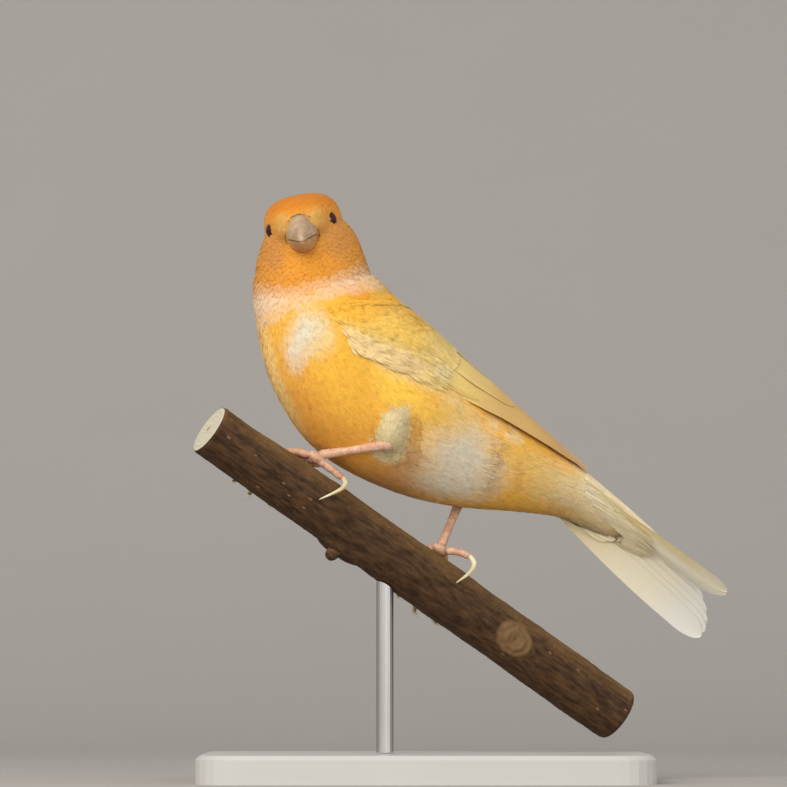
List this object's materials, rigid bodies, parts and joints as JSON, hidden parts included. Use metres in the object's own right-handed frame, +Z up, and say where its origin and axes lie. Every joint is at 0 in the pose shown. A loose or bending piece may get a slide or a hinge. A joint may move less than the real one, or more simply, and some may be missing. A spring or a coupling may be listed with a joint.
{
  "type": "perched canary",
  "caption": "Life-size yellow-orange canary standing lengthwise on a sloping cut length of branch, head turned to the side, held by a plain display stand.",
  "frame": {"origin": "centre of the display stand's flat underside, which rests on the floor", "axes": "+Z up; the bird's breast end points towards -X and a little towards -Y, its tail towards +X, and its bill towards -Y"},
  "size_m": [0.125, 0.066, 0.136],
  "materials": {
    "plumage_head": "matte",
    "plumage_neck": "matte",
    "plumage_body": "matte",
    "plumage_wing": "matte",
    "plumage_tail": "matte",
    "plumage_thigh": "matte",
    "eye": "gloss",
    "bill": "satin",
    "skin": "satin",
    "claw": "satin",
    "bark": "matte",
    "base": "satin",
    "rod": "satin"
  },
  "bodies": {
    "root": {"head": "plumage_head", "neck": "plumage_neck", "torso": "plumage_body", "wing_left": "plumage_wing", "wing_right": "plumage_wing", "tail": "plumage_tail", "thigh_left": "plumage_thigh", "thigh_right": "plumage_thigh", "eye_left": "eye", "eye_right": "eye", "bill_upper": "bill", "bill_lower": "bill", "shank_left": "skin", "shank_right": "skin", "foot_left": "skin", "foot_right": "skin", "claw_left_1": "claw", "claw_left_2": "claw", "claw_left_3": "claw", "claw_left_4": "claw", "claw_right_1": "claw", "claw_right_2": "claw", "claw_right_3": "claw", "claw_right_4": "claw", "perch": "bark", "stand_base": "base", "stand_rod": "rod"}
  },
  "joints": []
}
